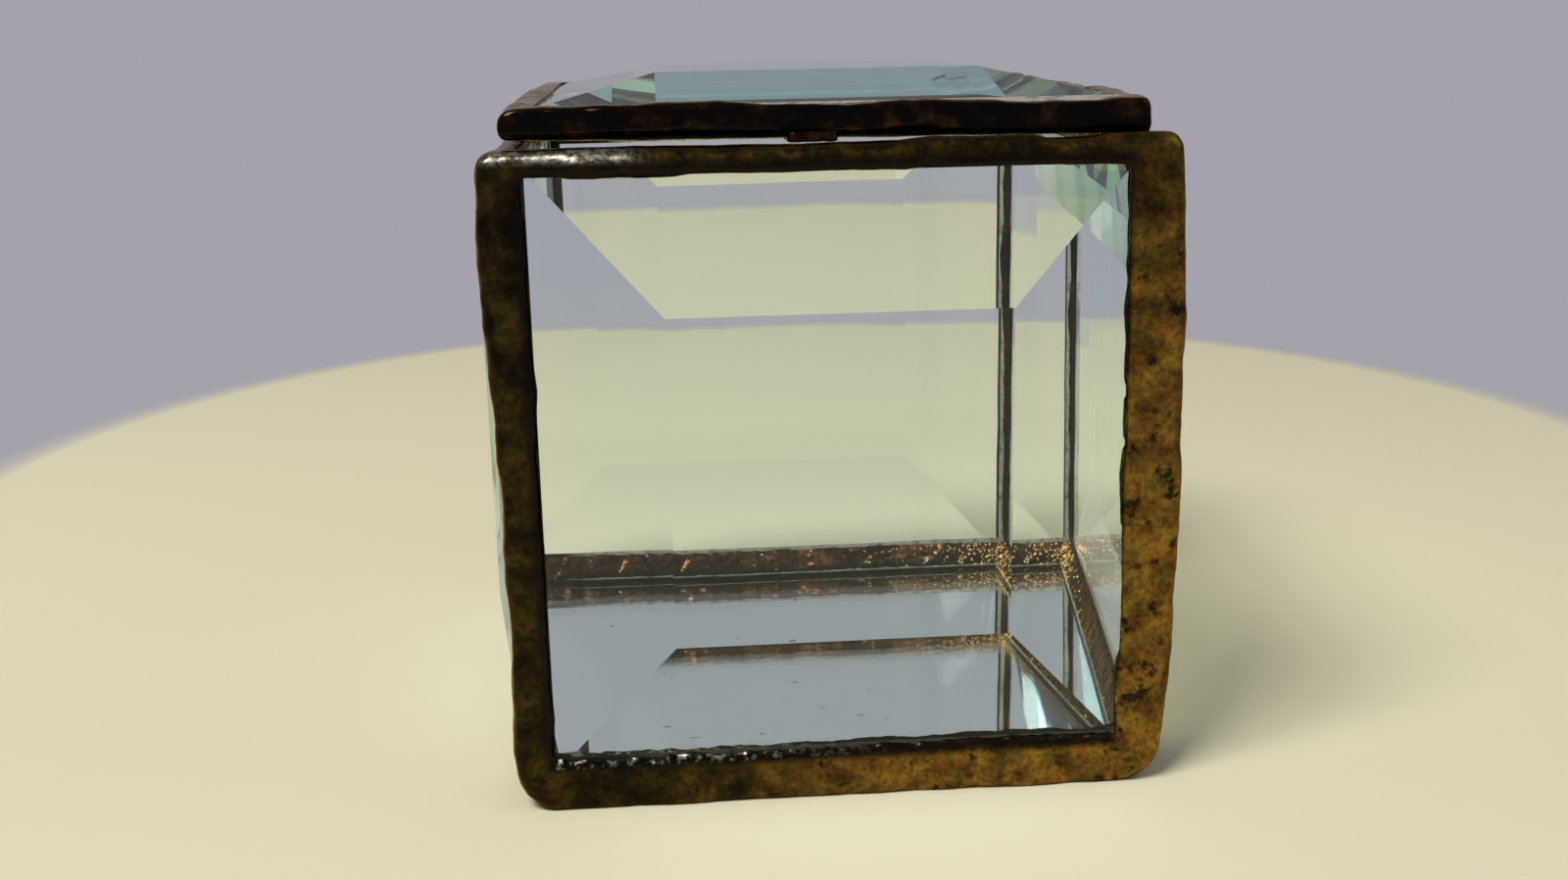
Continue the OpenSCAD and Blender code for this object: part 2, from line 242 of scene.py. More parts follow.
def climb(nodes, links, value, start, end, top=1.0):
    """0 up to start, top from end on, and straight between them. The end may be the lower of the two."""
    slope = 1 / (end - start)
    level = math_node(nodes, links, "MULTIPLY_ADD", value, slope, -start * slope)
    return ramp(nodes, links, level, [(0.0, grey(0.0)), (1.0, grey(top))])


def axes_of(nodes, links, vector):
    """The X, Y and Z of a place as outputs of their own."""
    made = nodes.new("ShaderNodeSeparateXYZ")
    links.new(vector, made.inputs["Vector"])
    return made.outputs


def principled(nodes, values):
    """Principled surface with plain values on the named inputs."""
    made = nodes.new("ShaderNodeBsdfPrincipled")
    for name, value in values.items():
        made.inputs[name].default_value = value
    return made


def mix_surfaces(nodes, links, share, first, second):
    made = nodes.new("ShaderNodeMixShader")
    links.new(share, made.inputs["Fac"])
    links.new(first, made.inputs[1])
    links.new(second, made.inputs[2])
    return made.outputs["Shader"]


def output_surface(nodes, links, surface):
    made = nodes.new("ShaderNodeOutputMaterial")
    links.new(surface, made.inputs["Surface"])
    return made


def seen_share(nodes, links):
    """1 for what is seen, also in mirrors and through glass, and 0 for the light that falls on things."""
    rays = nodes.new("ShaderNodeLightPath").outputs
    seen = math_node(nodes, links, "MAXIMUM", rays["Is Camera Ray"], rays["Is Glossy Ray"])
    return math_node(nodes, links, "MAXIMUM", seen, rays["Is Transmission Ray"])


def glass_material(name, absorb_colour, absorb_density, reflection):
    """Clear plate glass, green along its length, with faint polishing ripples. Lamps shine through it."""
    made, nodes, links = new_material(name)
    shader = principled(nodes, {
        "Base Color": (0.99, 1.0, 0.995, 1), "Roughness": 0.0, "IOR": 1.52,
        "Specular Tint": grey(reflection), "Transmission Weight": 1.0})
    vector = object_coordinates(nodes, links)
    ripple = noise(nodes, links, vector, 0.12, detail=1.0)
    links.new(bump(nodes, links, ripple, 0.05, 0.25), shader.inputs["Normal"])
    clear = nodes.new("ShaderNodeBsdfTransparent")
    clear.inputs["Color"].default_value = GLASS_SHADOW
    shadow = nodes.new("ShaderNodeLightPath").outputs["Is Shadow Ray"]
    surface = mix_surfaces(nodes, links, shadow, shader.outputs["BSDF"], clear.outputs["BSDF"])
    inside = nodes.new("ShaderNodeVolumeAbsorption")
    inside.inputs["Color"].default_value = absorb_colour
    inside.inputs["Density"].default_value = absorb_density
    links.new(inside.outputs["Volume"], output_surface(nodes, links, surface).inputs["Volume"])
    return made


def glass_distance(nodes, links, vector):
    """Distance in millimetres from the nearest window of the casket, for places on its outer faces. It places the
    painted shade beside the glass.
    """
    window_x, window_y = box_mm("back_right_seam")[0].xy
    low_z, high_z = box_mm("front_base_seam")[1].z, box_mm("front_rim_bead")[0].z
    axes = axes_of(nodes, links, vector)
    across = math_node(nodes, links, "ADD", axes["X"], DARK_EDGE_SHIFT_MM)
    across = math_node(nodes, links, "ABSOLUTE", across)
    across = math_node(nodes, links, "SUBTRACT", across, window_x - DARK_EDGE_SHIFT_MM)
    along = math_node(nodes, links, "ABSOLUTE", axes["Y"])
    along = math_node(nodes, links, "SUBTRACT", along, window_y)
    below = math_node(nodes, links, "SUBTRACT", low_z, axes["Z"])
    above = math_node(nodes, links, "SUBTRACT", axes["Z"], high_z)
    level = math_node(nodes, links, "MAXIMUM", below, above)
    across = math_node(nodes, links, "MAXIMUM", across, level)
    along = math_node(nodes, links, "MAXIMUM", along, level)
    return math_node(nodes, links, "MINIMUM", across, along)


def foil_material():
    """Tinned copper foil: grey laps on the back wall, black with patina everywhere else."""
    made, nodes, links = new_material("copper_foil")
    vector = object_coordinates(nodes, links)
    shader = principled(nodes, {"Metallic": 0.7})
    blotches = noise(nodes, links, vector, 0.8, detail=6.0, roughness=0.65)
    tone = ramp(nodes, links, blotches, [
        (0.35, (0.18, 0.175, 0.15)), (0.50, (0.46, 0.445, 0.38)), (0.65, (0.54, 0.50, 0.41))])
    axes = axes_of(nodes, links, vector)
    beyond = [
        math_node(nodes, links, "GREATER_THAN", math_node(nodes, links, "ABSOLUTE", axes[axis]), place)
        for axis, place in (("X", box_mm("right_foil")[0].x - 0.05), ("Y", box_mm("back_foil")[0].y + 1))]
    dark = math_node(nodes, links, "MAXIMUM", *beyond)
    left = math_node(
        nodes, links, "MULTIPLY_ADD", axes["X"], -BLACK_FOIL_PER_MM, BLACK_FOIL_X_MM * BLACK_FOIL_PER_MM)
    left = math_node(nodes, links, "ADD", left, blotches)
    left = ramp(nodes, links, left, [(0.3, grey(0.0)), (0.7, grey(1.0))])
    dark = math_node(nodes, links, "MAXIMUM", dark, left)
    under = math_node(nodes, links, "LESS_THAN", axes["Z"], box_mm("mirror_glass")[1].z + 0.03)
    dark = math_node(nodes, links, "MAXIMUM", dark, under)
    tone = mix_colours(nodes, links, dark, tone, BLACK_FOIL)
    links.new(tone, shader.inputs["Base Color"])
    grain = noise(nodes, links, vector, 3.0, detail=3.0)
    links.new(ramp(nodes, links, grain, [(0.30, grey(0.35)), (0.70, grey(0.55))]), shader.inputs["Roughness"])
    links.new(bump(nodes, links, grain, 0.05, 0.6), shader.inputs["Normal"])
    output_surface(nodes, links, shader.outputs["BSDF"])
    return made


def solder_shader(name, tones, warm_tones=None, gold_amount=0.0, rough=(0.18, 0.40), foot_z=None):
    """Lead and tin solder under a blotchy antique patina. On the casket, shade is painted beside the glass, black
    for the dark that the seams' rounded inner edges reflect.

    Warm tones, where given, take over low down and to the right. Below foot_z the solder is nearly black.
    """
    made, nodes, links = new_material(name)
    vector = object_coordinates(nodes, links)
    axes = axes_of(nodes, links, vector)
    shader = principled(nodes, {
        "Metallic": 1.0, "Specular Tint": (0.85, 0.65, 0.40, 1), "Coat Weight": 0.12, "Coat Roughness": 0.1})
    blotches = noise(nodes, links, vector, 0.30, detail=5.0, roughness=0.6, distortion=0.2)
    tone = ramp(nodes, links, blotches, tones)
    if warm_tones:
        warm = ramp(nodes, links, blotches, warm_tones)
        share = math_node(nodes, links, "MULTIPLY_ADD", axes["X"], WARM_PER_MM_RIGHT, WARM_AT_MIDDLE)
        share = math_node(nodes, links, "MULTIPLY_ADD", axes["Z"], WARM_PER_MM_UP, share)
        patches = noise(nodes, links, vector, 0.12, detail=3.0)
        patches = math_node(nodes, links, "MULTIPLY_ADD", patches, WARM_VARIES, -WARM_VARIES / 2)
        share = math_node(nodes, links, "ADD", share, patches)
        share = ramp(nodes, links, share, [(0.10, grey(0.02)), (0.62, grey(1.0))])
        tone = mix_colours(nodes, links, share, tone, warm)
        gold = noise(nodes, links, vector, 0.55, detail=3.0, roughness=0.6)
        gold_share = ramp(nodes, links, gold, [(0.52, grey(0.0)), (0.68, grey(gold_amount))])
        gold_share = math_node(nodes, links, "MULTIPLY", gold_share, share)
        tone = mix_colours(nodes, links, gold_share, tone, GOLD_PATINA)
    hue = noise(nodes, links, vector, 0.45, detail=2.0, distortion=0.5)
    reds_and_olives = ramp(nodes, links, hue, [
        (0.38, (1.0, 0.76, 0.60)), (0.50, (1.0, 0.92, 0.80)), (0.62, (0.94, 1.0, 0.70))])
    tone = mix_colours(nodes, links, 1.0, tone, reds_and_olives, "MULTIPLY")
    speckle = noise(nodes, links, vector, 1.6, detail=4.0, roughness=0.6)
    depth = ramp(nodes, links, speckle, [(0.34, grey(0.45)), (0.58, grey(1.0))])
    tone = mix_colours(nodes, links, 1.0, tone, depth, "MULTIPLY")
    black = noise(nodes, links, vector, 0.5, detail=4.0, roughness=0.6)
    black_share = ramp(nodes, links, black, [(0.57, grey(0.0)), (0.66, grey(0.92))])
    # Painted shade: black beside the windows' edges, for the dark that the seams' rounded inner edges reflect
    if warm_tones:
        edge = math_node(nodes, links, "MULTIPLY_ADD", speckle, -1.6, glass_distance(nodes, links, vector))
        edge = math_node(nodes, links, "MULTIPLY_ADD", edge, 0.5, 0.5)
        edge = ramp(nodes, links, edge, [(0.42, grey(0.95)), (0.75, grey(0.0))])
        black_share = math_node(nodes, links, "MAXIMUM", black_share, edge)
    tone = mix_colours(nodes, links, black_share, tone, BLACK_PATINA_AND_SHADE)
    # Painted highlight: bare solder where the patina is worn, on the rim's left end and in spots on the sill
    if warm_tones:
        tone = mix_colours(nodes, links, worn_and_highlight_share(nodes, links, axes, speckle), tone, BARE_SOLDER_HIGHLIGHT)
    if foot_z is not None:
        foot = climb(nodes, links, axes["Z"], foot_z + 0.25, foot_z - 0.25, 0.95)
        tone = mix_colours(nodes, links, foot, tone, BLACK_FOOT)
    links.new(tone, shader.inputs["Base Color"])
    grain = noise(nodes, links, vector, 1.4, detail=5.0, roughness=0.6)
    gloss = ramp(nodes, links, grain, [(0.35, grey(rough[0])), (0.65, grey(rough[1]))])
    links.new(gloss, shader.inputs["Roughness"])
    fine = bump(nodes, links, noise(nodes, links, vector, 5.0, detail=3.0), 0.02, 0.5)
    links.new(bump(nodes, links, grain, 0.06, 0.6, fine), shader.inputs["Normal"])
    output_surface(nodes, links, shader.outputs["BSDF"])
    return made


def worn_and_highlight_share(nodes, links, axes, patches):
    """Where bare solder is painted, partly as worn patina and partly as a painted highlight: the rim's left end,
    and spots at the left of the sill.
    """
    left = climb(nodes, links, axes["X"], *WORN_HIGHLIGHT_RIM_X_MM)
    high = climb(nodes, links, axes["Z"], *WORN_HIGHLIGHT_RIM_Z_MM)
    rubbed_and_highlit = ramp(nodes, links, patches, [(0.40, grey(0.1)), (0.60, grey(1.0))])
    rim = math_node(nodes, links, "MULTIPLY", math_node(nodes, links, "MULTIPLY", left, high), rubbed_and_highlit)
    sill = math_node(nodes, links, "SUBTRACT", axes["Z"], WORN_HIGHLIGHT_SILL_LEVEL_MM)
    sill = math_node(nodes, links, "ABSOLUTE", sill)
    sill = ramp(nodes, links, sill, [(0.30, grey(1.0)), (0.60, grey(0.0))])
    towards = climb(nodes, links, axes["X"], *WORN_HIGHLIGHT_SILL_X_MM)
    beside = math_node(nodes, links, "GREATER_THAN", axes["X"], box_mm("front_base_seam")[0].x)
    towards = math_node(nodes, links, "MULTIPLY", towards, beside)
    spots = ramp(nodes, links, patches, [(0.52, grey(0.0)), (0.60, grey(0.8))])
    sill = math_node(nodes, links, "MULTIPLY", math_node(nodes, links, "MULTIPLY", sill, towards), spots)
    return math_node(nodes, links, "MAXIMUM", rim, sill)


def metal_material(name, tones, metallic, rough_low, rough_high, scale, reflection=0.5):
    made, nodes, links = new_material(name)
    vector = object_coordinates(nodes, links)
    shader = principled(nodes, {"Metallic": metallic, "Specular IOR Level": reflection})
    blotches = noise(nodes, links, vector, scale, detail=6.0, roughness=0.65)
    links.new(ramp(nodes, links, blotches, tones), shader.inputs["Base Color"])
    grain = noise(nodes, links, vector, scale * 4, detail=3.0)
    gloss = ramp(nodes, links, grain, [(0.30, grey(rough_low)), (0.70, grey(rough_high))])
    links.new(gloss, shader.inputs["Roughness"])
    links.new(bump(nodes, links, grain, 0.04, 0.5), shader.inputs["Normal"])
    output_surface(nodes, links, shader.outputs["BSDF"])
    return made


def silver_material():
    """Mirror silvering with a few specks, painted grey below."""
    made, nodes, links = new_material("mirror_silver")
    vector = object_coordinates(nodes, links)
    specks = noise(nodes, links, vector, 0.5, detail=2.0, roughness=0.4)
    bright = principled(nodes, {"Metallic": 1.0, "Roughness": 0.02})
    silver = ramp(nodes, links, specks, [(0.735, (0.86, 0.90, 0.88)), (0.765, (0.36, 0.35, 0.27))])
    links.new(silver, bright.inputs["Base Color"])
    paint = principled(nodes, {"Roughness": 0.6})
    grain = noise(nodes, links, vector, 1.5, detail=4.0)
    tone = ramp(nodes, links, grain, [(0.35, (0.17, 0.18, 0.20)), (0.65, (0.25, 0.26, 0.28))])
    links.new(tone, paint.inputs["Base Color"])
    links.new(bump(nodes, links, grain, 0.03, 0.4), paint.inputs["Normal"])
    height = axes_of(nodes, links, vector)["Z"]
    silvered = math_node(nodes, links, "GREATER_THAN", height, box_mm("mirror_backing")[0].z + 0.05)
    surface = mix_surfaces(nodes, links, silvered, paint.outputs["BSDF"], bright.outputs["BSDF"])
    output_surface(nodes, links, surface)
    return made


def floor_material():
    """Plain pale cream floor. Far from the box it is the plain grey of the backdrop."""
    made, nodes, links = new_material("pale_floor")
    vector = object_coordinates(nodes, links)
    axes = axes_of(nodes, links, vector)
    across = math_node(nodes, links, "SUBTRACT", axes["X"], CREAM_MIDDLE_MM[0])
    along = math_node(nodes, links, "SUBTRACT", axes["Y"], CREAM_MIDDLE_MM[1])
    along = math_node(nodes, links, "SUBTRACT", math_node(nodes, links, "ABSOLUTE", along), CREAM_STRAIGHT_MM)
    place = nodes.new("ShaderNodeCombineXYZ")
    links.new(across, place.inputs["X"])
    links.new(math_node(nodes, links, "MAXIMUM", along, 0.0), place.inputs["Y"])
    away = nodes.new("ShaderNodeVectorMath")
    away.operation = "LENGTH"
    links.new(place.outputs["Vector"], away.inputs[0])
    spread = nodes.new("ShaderNodeMapRange")
    spread.inputs["From Min"].default_value = CREAM_EDGE_MM[0]
    spread.inputs["From Max"].default_value = CREAM_EDGE_MM[1]
    links.new(away.outputs["Value"], spread.inputs["Value"])
    near = principled(nodes, {"Roughness": 0.85})
    tone = mix_colours(nodes, links, spread.outputs["Result"], CREAM, LAVENDER)
    links.new(tone, near.inputs["Base Color"])
    backdrop = nodes.new("ShaderNodeEmission")
    backdrop.inputs["Color"].default_value = LAVENDER
    share = math_node(nodes, links, "MULTIPLY", seen_share(nodes, links), spread.outputs["Result"])
    surface = mix_surfaces(nodes, links, share, near.outputs["BSDF"], backdrop.outputs["Emission"])
    output_surface(nodes, links, surface)
    return made


def give(node, material):
    mesh = frame["nodes"][node].data
    mesh.materials.clear()
    mesh.materials.append(material)


def box_mm(node):
    low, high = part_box(node)
    return low / MM, high / MM


def ramp01(value, start, end):
    """0 before start, 1 after end, and a straight climb between them."""
    return min(max((value - start) / (end - start), 0), 1)


def make_active(thing):
    deselect_all()
    thing.select_set(True)
    bpy.context.view_layer.objects.active = thing


def block(name, low, high):
    """Block between two corners in millimetres, with its place in its mesh. Modelling starts from it."""
    deselect_all()
    bpy.ops.mesh.primitive_cube_add(size=1, location=[(a + b) / 2 * MM for a, b in zip(low, high)])
    made = bpy.context.object
    made.name = name
    made.data.name = name
    made.scale = [(b - a) * MM for a, b in zip(low, high)]
    bpy.ops.object.transform_apply(location=True, rotation=True, scale=True)
    return made


def move_corner(piece, corner, shift):
    """Moves the corner of a block that lies at the given place. Both are in millimetres."""
    make_active(piece)
    bpy.ops.object.mode_set(mode="EDIT")
    bpy.ops.mesh.select_mode(type="VERT")
    bpy.ops.mesh.select_all(action="DESELECT")
    bpy.ops.object.mode_set(mode="OBJECT")
    for vertex in piece.data.vertices:
        vertex.select = (vertex.co / MM - Vector(corner)).length < SAME_PLACE_MM
    bpy.ops.object.mode_set(mode="EDIT")
    bpy.ops.transform.translate(value=[value * MM for value in shift])
    bpy.ops.object.mode_set(mode="OBJECT")


def round_edges(piece, chosen, radius, segments=5):
    """Rounds the edges whose two end points, in millimetres, make chosen() true."""
    make_active(piece)
    bpy.ops.object.mode_set(mode="EDIT")
    bpy.ops.mesh.select_mode(type="EDGE")
    bpy.ops.mesh.select_all(action="DESELECT")
    bpy.ops.object.mode_set(mode="OBJECT")
    points = piece.data.vertices
    for edge in piece.data.edges:
        edge.select = chosen(*[points[i].co / MM for i in edge.vertices])
    bpy.ops.object.mode_set(mode="EDIT")
    bpy.ops.mesh.bevel(offset=radius * MM, segments=segments, affect="EDGES")
    bpy.ops.object.mode_set(mode="OBJECT")


def same(first, second):
    """Whether two lengths in millimetres are the same, but for rounding."""
    return abs(first - second) < SAME_PLACE_MM


def copy_of(thing, name):
    made = thing.copy()
    made.data = thing.data.copy()
    made.name = name
    made.data.name = name
    bpy.context.scene.collection.objects.link(made)
    return made


def joined(name, things):
    """Several objects as one mesh."""
    make_active(things[0])
    for thing in things:
        thing.select_set(True)
    bpy.ops.object.join()
    made = bpy.context.object
    made.name = name
    made.data.name = name
    return made


def cad_copies(name, nodes):
    """The named CAD solids as one new mesh, with their loose triangles merged."""
    copies = []
    for node in nodes:
        made = bpy.data.objects.new(name, frame["nodes"][node].data.copy())
        bpy.context.scene.collection.objects.link(made)
        copies.append(made)
    made = joined(name, copies)
    bpy.ops.object.mode_set(mode="EDIT")
    bpy.ops.mesh.select_all(action="SELECT")
    bpy.ops.mesh.remove_doubles(threshold=0.001 * MM)
    bpy.ops.object.mode_set(mode="OBJECT")
    made.data.materials.clear()
    return made


def apply_modifier(piece, kind, **settings):
    make_active(piece)
    step = piece.modifiers.new(kind.lower(), kind)
    for setting, value in settings.items():
        setattr(step, setting, value)
    bpy.ops.object.modifier_apply(modifier=step.name)


def cut_away(piece, cutter):
    """Takes the cutter's shape out of the piece, and deletes the cutter."""
    apply_modifier(piece, "BOOLEAN", operation="DIFFERENCE", object=cutter, solver="EXACT")
    bpy.data.objects.remove(cutter)


def fuse(piece, voxel_mm, smoothing):
    """Melts the piece's blocks into one even skin with soft edges."""
    apply_modifier(piece, "REMESH", mode="VOXEL", voxel_size=voxel_mm * MM)
    apply_modifier(piece, "SMOOTH", factor=0.5, iterations=smoothing)


def lumps(piece, size_mm, height_mm, weights=""):
    """Pushes the surface in and out by soft lumps of about size_mm, up to half of height_mm each way."""
    texture = bpy.data.textures.new("solder_lumps", "CLOUDS")
    texture.noise_scale = size_mm * MM
    texture.noise_depth = 1
    apply_modifier(
        piece, "DISPLACE", texture=texture, texture_coords="LOCAL", strength=height_mm * MM,
        mid_level=0.5, vertex_group=weights)


def weights_of(piece, name, share):
    """Vertex group whose weight at each place is share(), which takes a place in millimetres."""
    group = piece.vertex_groups.new(name=name)
    for vertex in piece.data.vertices:
        group.add([vertex.index], share(*(vertex.co / MM)), "REPLACE")
    return group.name


def bead_lumps(piece, share):
    """The three sizes of lumps in a hand-run bead, as high as share() says."""
    weights = weights_of(piece, "lumps", share)
    for size_mm, height_mm in BEAD_LUMPS_MM:
        lumps(piece, size_mm, height_mm, weights)


def swell(piece, direction, height_mm, share):
    """Pushes the surface along an axis, by height_mm where share() is 1 and not at all where it is 0."""
    apply_modifier(
        piece, "DISPLACE", direction=direction, strength=height_mm * MM, mid_level=0,
        vertex_group=weights_of(piece, "swell", share))
    piece.vertex_groups.remove(piece.vertex_groups["swell"])


def keep_behind(piece, point_mm, normal):
    """Cuts the piece along a plane and closes the cut. The side that the normal points to goes."""
    make_active(piece)
    bpy.ops.object.mode_set(mode="EDIT")
    bpy.ops.mesh.select_all(action="SELECT")
    bpy.ops.mesh.bisect(
        plane_co=[value * MM for value in point_mm], plane_no=normal, use_fill=True, clear_outer=True,
        threshold=0.001 * MM)
    bpy.ops.object.mode_set(mode="OBJECT")


def part_between(whole, name, low, high):
    """Copy of the part of a skin that lies between two corners in millimetres. None leaves a side open."""
    made = copy_of(whole, name)
    for axis in range(3):
        for bound, sign in ((low[axis], -1), (high[axis], 1)):
            if bound is None:
                continue
            normal = [0, 0, 0]
            normal[axis] = sign
            keep_behind(made, [bound] * 3, normal)
    return made


def finish_piece(piece, material, body, nodes):
    """Smooth shading, finish and place in the frame. The piece stands for the named CAD nodes."""
    make_active(piece)
    piece.vertex_groups.clear()
    piece.data.materials.clear()
    piece.data.materials.append(material)
    bpy.ops.object.shade_smooth_by_angle(angle=math.radians(50))
    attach(piece, body)
    if nodes:
        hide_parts(*nodes)
    return piece


def grown_glass(nodes):
    """Copy of some panes, a little larger all round, to cut the solder with."""
    made = cad_copies("glass_cutter", nodes)
    apply_modifier(made, "DISPLACE", strength=GLASS_CLEARANCE_MM * MM, mid_level=0)
    return made


def casket_skin():
    """The solder of the whole casket in one piece: a rounded block with its windows and inside cut out."""
    left = box_mm("front_left_seam")
    back = box_mm("back_right_seam")
    front_rim, back_rim, side_rim = [box_mm(f"{side}_rim_bead") for side in ("front", "back", "left")]
    base_top = box_mm("front_base_seam")[1].z
    floor_z = box_mm("mirror_foil")[1].z
    wall_x = box_mm("right_foil")[0].x
    wall_y = box_mm("back_foil")[0].y
    seam_x, seam_y = back[0].x, back[0].y
    x1, y1, z1 = back[1].x, back[1].y, left[1].z
    axis = Vector(frame["joints"][0]["pos_m"]) / MM
    skin = block("solder_skin", (-x1, -y1, -BASE_CUT_MM), (x1, y1, z1))
    for (side, top), radius in CORNER_ROUND_MM.items():
        edge_z = z1 if top else -BASE_CUT_MM
        round_edges(skin, lambda *ends: all(same(end.x, side * x1) and same(end.z, edge_z) for end in ends),
                    radius)
    round_edges(skin, lambda a, b: same(a.y, b.y) and same(abs(a.y), y1), OUTER_ROUND_MM)
    rim_z = front_rim[0].z
    back_x, back_y = seam_x + BACK_CAME_LESS_MM, seam_y + BACK_CAME_LESS_MM
    front_z = base_top + SILL_EXTRA_MM
    notch_x = wall_x + LID_NOTCH_SIDE_MM
    cutters = [
        block("front_window", (-seam_x, -FAR_MM, front_z), (seam_x - RIGHT_CAME_EXTRA_MM, 0, rim_z)),
        block("back_window", (-back_x, 0, base_top), (back_x, FAR_MM, back_rim[0].z)),
        block("side_window", (-FAR_MM, -seam_y, base_top), (FAR_MM, back_y, rim_z)),
        block("inside", (-wall_x, -wall_y, floor_z), (wall_x, wall_y, rim_z)),
        block("top_window", (side_rim[1].x, front_rim[1].y, floor_z + 10),
              (-side_rim[1].x, back_rim[0].y, FAR_MM)),
        block("under", (-seam_x, -seam_y, -FAR_MM), (seam_x, seam_y, floor_z + 1)),
        block("tube_notch", (-wall_x, seam_y, back_rim[1].z), (wall_x, FAR_MM, FAR_MM)),
        block("lid_notch", (-notch_x, wall_y, back_rim[1].z), (notch_x, FAR_MM, FAR_MM)),
        block("lug_notch", (-FAR_MM, wall_y, axis.z + LUG_ABOVE_AXIS_MM), (FAR_MM,) * 3)]
    for cutter in cutters:
        cut_away(skin, cutter)

    def on_window(a, b):
        """Whether an edge lies round a window, on an outer face of the casket."""
        if min(a.z, b.z) < base_top - SAME_PLACE_MM:
            return False
        if same(a.y, b.y) and same(abs(a.y), y1):
            return max(abs(a.x), abs(b.x)) < back_x + SAME_PLACE_MM
        return (same(a.x, b.x) and same(abs(a.x), x1)
                and max(abs(a.y), abs(b.y)) < back_y + SAME_PLACE_MM)

    top_z = back_rim[0].z - SAME_PLACE_MM
    round_edges(skin, lambda a, b: on_window(a, b) and min(a.z, b.z) < top_z, WINDOW_ROUND_MM)
    round_edges(skin, lambda a, b: on_window(a, b) and min(a.z, b.z) > top_z, RIM_ROUND_MM, 4)
    return skin


def right_came_share(x, y, z):
    """The front right seam swells to the right, most at about half its height."""
    return ramp01(x, 28, 31) * ramp01(-y, 24, 29) * ramp01(z, 4, 14) * ramp01(70 - z, 0, 28)


def left_came_share(x, y, z):
    """The front left seam is thicker at its upper end."""
    return ramp01(-x, 28, 31) * ramp01(-y, 24, 29) * ramp01(z, 41, 48)


def right_rim_share(x, y, z):
    """The right half of the front rim swells upwards in front of the lid, with a gap near its end."""
    gap = ramp01(x, 18, 19.5) * ramp01(25, x, x + 1.5)
    return ramp01(z, 62, 63.4) * ramp01(-y, 30.6, 31.6) * ramp01(x, 5, 8) * (1 - gap)


def front_sill_share(x, y, z):
    """The top of the front base seam is rough where it meets the glass."""
    return ramp01(z, 4, 4.6) * ramp01(6.2 - z, 0, 0.5) * ramp01(-y, 29, 31) * ramp01(29 - abs(x), 0, 1)


def casket_lump_share(x, y, z):
    """Few lumps where the lid and the hinge tube pass, and under the lid."""
    hinge = ramp01(y, 24, 28) * ramp01(z, 54, 58)
    slit = ramp01(z, 62, 63)
    return 1 - max(0.85 * hinge, 0.6 * slit)


def open_lid_room():
    """Room for the lid's back bead at the end of the hinge's travel: its box, a little larger, turned."""
    low, high = box_mm("lid_back_bead")
    low = [value - OPEN_LID_MARGIN_MM for value in low]
    high = [value + OPEN_LID_MARGIN_MM for value in high]
    low[0] -= LID_LEFT_EXTRA_MM
    made = block("open_lid_room", low, high)
    joint = frame["joints"][0]
    place = Vector(joint["pos_m"])
    turn = Matrix.Rotation(math.radians(joint["range_deg"][1]), 4, Vector(joint["axis"]))
    made.data.transform(Matrix.Translation(place) @ turn @ Matrix.Translation(-place))
    return made


def solder_casket(material):
    """Outer seams and rims of the casket, cut from one lumpy skin so that they flow into each other."""
    seam_x, seam_y = box_mm("back_right_seam")[0].x, box_mm("back_right_seam")[0].y
    skin = casket_skin()
    fuse(skin, VOXEL_MM, 6)
    swell(skin, "X", RIGHT_SWELL_MM, right_came_share)
    swell(skin, "X", -LEFT_SWELL_MM, left_came_share)
    swell(skin, "Z", RIM_SWELL_MM, right_rim_share)
    bead_lumps(skin, casket_lump_share)
    lumps(skin, *SILL_LUMPS_MM, weights_of(skin, "sill", front_sill_share))
    cut_away(skin, grown_glass(["front_pane", "back_pane", "left_pane", "right_pane", "mirror_glass"]))
    cut_away(skin, open_lid_room())
    keep_behind(skin, (0, 0, 0), (0, 0, -1))
    room_y = box_mm("lid_front_bead")[0].y - LID_ROOM_FRONT_MM
    room_z = box_mm("front_rim_bead")[1].z + CASKET_TOP_MARGIN_MM
    cut_away(skin, block("lid_room", (-FAR_MM, room_y, room_z), (FAR_MM,) * 3))
    x1, y1 = seam_x - PIECE_REACH_MM, seam_y - PIECE_REACH_MM
    x0, y0 = -x1, -y1
    front_x1 = x1 - RIGHT_CAME_EXTRA_MM
    middle_z = MIDDLE_HEIGHT_MM
    parts = {
        "front_left_seam": ((None, None, None), (x0, y0, None)),
        "front_right_seam": ((front_x1, None, None), (None, y0, None)),
        "back_left_seam": ((None, y1, None), (x0, None, None)),
        "back_right_seam": ((x1, y1, None), (None, None, None)),
        "front_base_seam": ((x0, None, None), (front_x1, 0, middle_z)),
        "back_base_seam": ((x0, 0, None), (x1, None, middle_z)),
        "left_base_seam": ((None, y0, None), (0, y1, middle_z)),
        "right_base_seam": ((0, y0, None), (None, y1, middle_z)),
        "front_rim_bead": ((x0, None, middle_z), (front_x1, 0, None)),
        "back_rim_bead": ((x0, 0, middle_z), (x1, None, None)),
        "left_rim_bead": ((None, y0, middle_z), (0, y1, None)),
        "right_rim_bead": ((0, y0, middle_z), (None, y1, None))}
    for node, (low, high) in parts.items():
        made = part_between(skin, f"lumpy_{node}", low, high)
        finish_piece(made, material, "casket", [node])
    bpy.data.objects.remove(skin)


def lid_lump_share(x, y, z):
    """Few lumps underneath and at the hinge."""
    under = 1 - ramp01(z, 64.2, 64.8)
    hinge = ramp01(y, 25, 28)
    return 1 - 0.7 * max(under, hinge)


